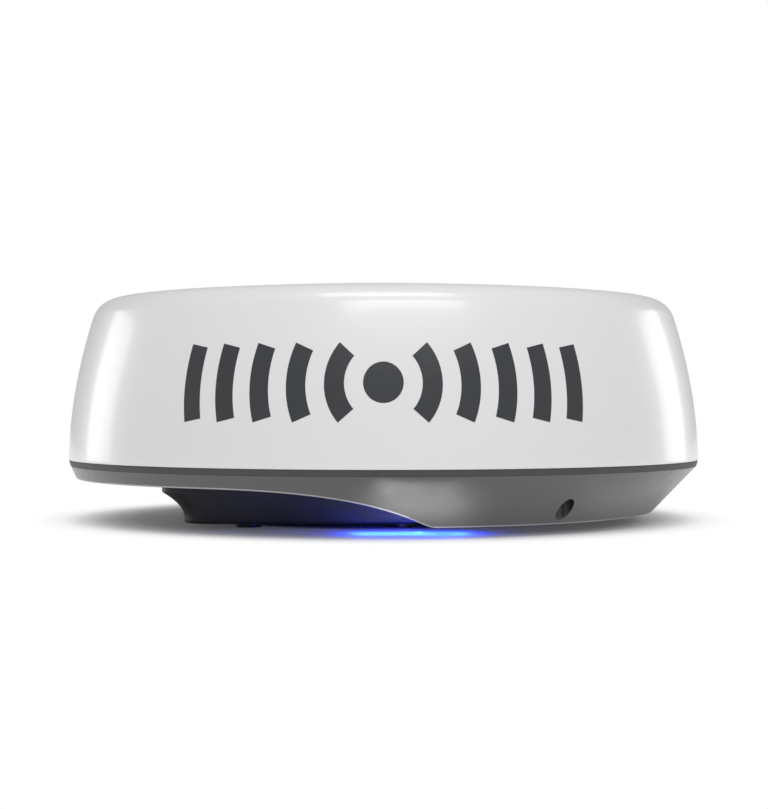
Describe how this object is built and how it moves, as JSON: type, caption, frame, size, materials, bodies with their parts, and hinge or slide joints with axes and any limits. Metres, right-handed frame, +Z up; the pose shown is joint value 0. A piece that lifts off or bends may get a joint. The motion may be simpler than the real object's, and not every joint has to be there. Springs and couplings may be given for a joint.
{
  "type": "radar dome antenna",
  "caption": "Round marine radar dome: a lift-off white radome over a rotating antenna array, on a grey housing with an offset bolt-down pedestal.",
  "frame": {"origin": "on the dome's vertical axis, in the plane of the four mounting pads", "axes": "+Z up along the antenna's axis of rotation; +X towards the full sloping end of the housing, away from the cable bay; -Y port side"},
  "size_m": [0.617, 0.617, 0.2265],
  "materials": {
    "radome_shell": "white gelcoat, satin gloss",
    "housing_plastic": "silver-grey moulded plastic with a satin coat",
    "pedestal_casting": "black powder coat on a casting",
    "seal_rubber": "matt moulded rubber",
    "stainless_steel": "turned stainless steel",
    "bare_aluminium": "milled aluminium",
    "motor_casting": "black satin paint",
    "blackened_steel": "black oxide on steel",
    "circuit_board": "green solder mask",
    "tinned_can": "tinned sheet",
    "black_plastic": "fine moulded texture",
    "gear_plastic": "natural acetal",
    "cover_plastic": "matt moulded plastic",
    "blue_lens": "lit blue diffuser"
  },
  "bodies": {
    "housing": {"lower_housing": "housing_plastic", "pedestal_base": "pedestal_casting", "rim_gasket": "seal_rubber", "radome_screw_1": "stainless_steel", "radome_screw_2": "stainless_steel", "radome_screw_3": "stainless_steel", "radome_screw_4": "stainless_steel", "radome_screw_5": "stainless_steel", "radome_screw_6": "stainless_steel", "radome_screw_7": "stainless_steel", "radome_screw_8": "stainless_steel", "pedestal_screw_1": "stainless_steel", "pedestal_screw_2": "stainless_steel", "pedestal_screw_3": "stainless_steel", "pedestal_screw_4": "stainless_steel", "clamp_screw_1": "stainless_steel", "clamp_screw_2": "stainless_steel", "chassis_screw_1": "stainless_steel", "chassis_screw_2": "stainless_steel", "chassis_screw_3": "stainless_steel", "chassis_screw_4": "stainless_steel", "motor_screw_1": "stainless_steel", "motor_screw_2": "stainless_steel", "lower_bearing": "stainless_steel", "upper_bearing": "stainless_steel", "chassis_plate": "bare_aluminium", "bearing_housing": "bare_aluminium", "coupler_stem": "bare_aluminium", "motor_body": "motor_casting", "mount_insert_1": "blackened_steel", "mount_insert_2": "blackened_steel", "mount_insert_3": "blackened_steel", "mount_insert_4": "blackened_steel", "main_board": "circuit_board", "light_board_port": "circuit_board", "light_board_starboard": "circuit_board", "power_shield": "tinned_can", "power_socket": "black_plastic", "network_socket": "black_plastic", "cable_clamp": "black_plastic", "pressure_vent": "black_plastic", "position_sensor": "black_plastic", "accent_lens_port": "blue_lens", "accent_lens_starboard": "blue_lens"},
    "radome": {"radome": "radome_shell"},
    "antenna": {"hub_shaft": "stainless_steel", "retaining_ring": "stainless_steel", "drive_gear": "gear_plastic", "turntable": "bare_aluminium", "coupler_cap": "bare_aluminium", "left_bracket": "bare_aluminium", "right_bracket": "bare_aluminium", "counterweight": "stainless_steel", "array_frame": "bare_aluminium", "array_board": "circuit_board", "array_cover": "cover_plastic", "transceiver_shield": "tinned_can"},
    "motor_rotor": {"motor_shaft": "stainless_steel", "motor_pinion": "stainless_steel"}
  },
  "joints": [
    {"name": "radome_lift", "type": "slide", "parent": "housing", "child": "radome", "axis": [0, 0, 1], "range_m": [0, 0.2]},
    {"name": "antenna_spin", "type": "hinge", "parent": "housing", "child": "antenna", "pos_m": [0, 0, 0], "axis": [0, 0, 1], "continuous": true},
    {"name": "motor_spin", "type": "hinge", "parent": "housing", "child": "motor_rotor", "pos_m": [0.072, 0, 0], "axis": [0, 0, 1], "continuous": true}
  ],
  "couplings": [
    {"joint": "motor_spin", "follows": "antenna_spin", "ratio": -5}
  ]
}
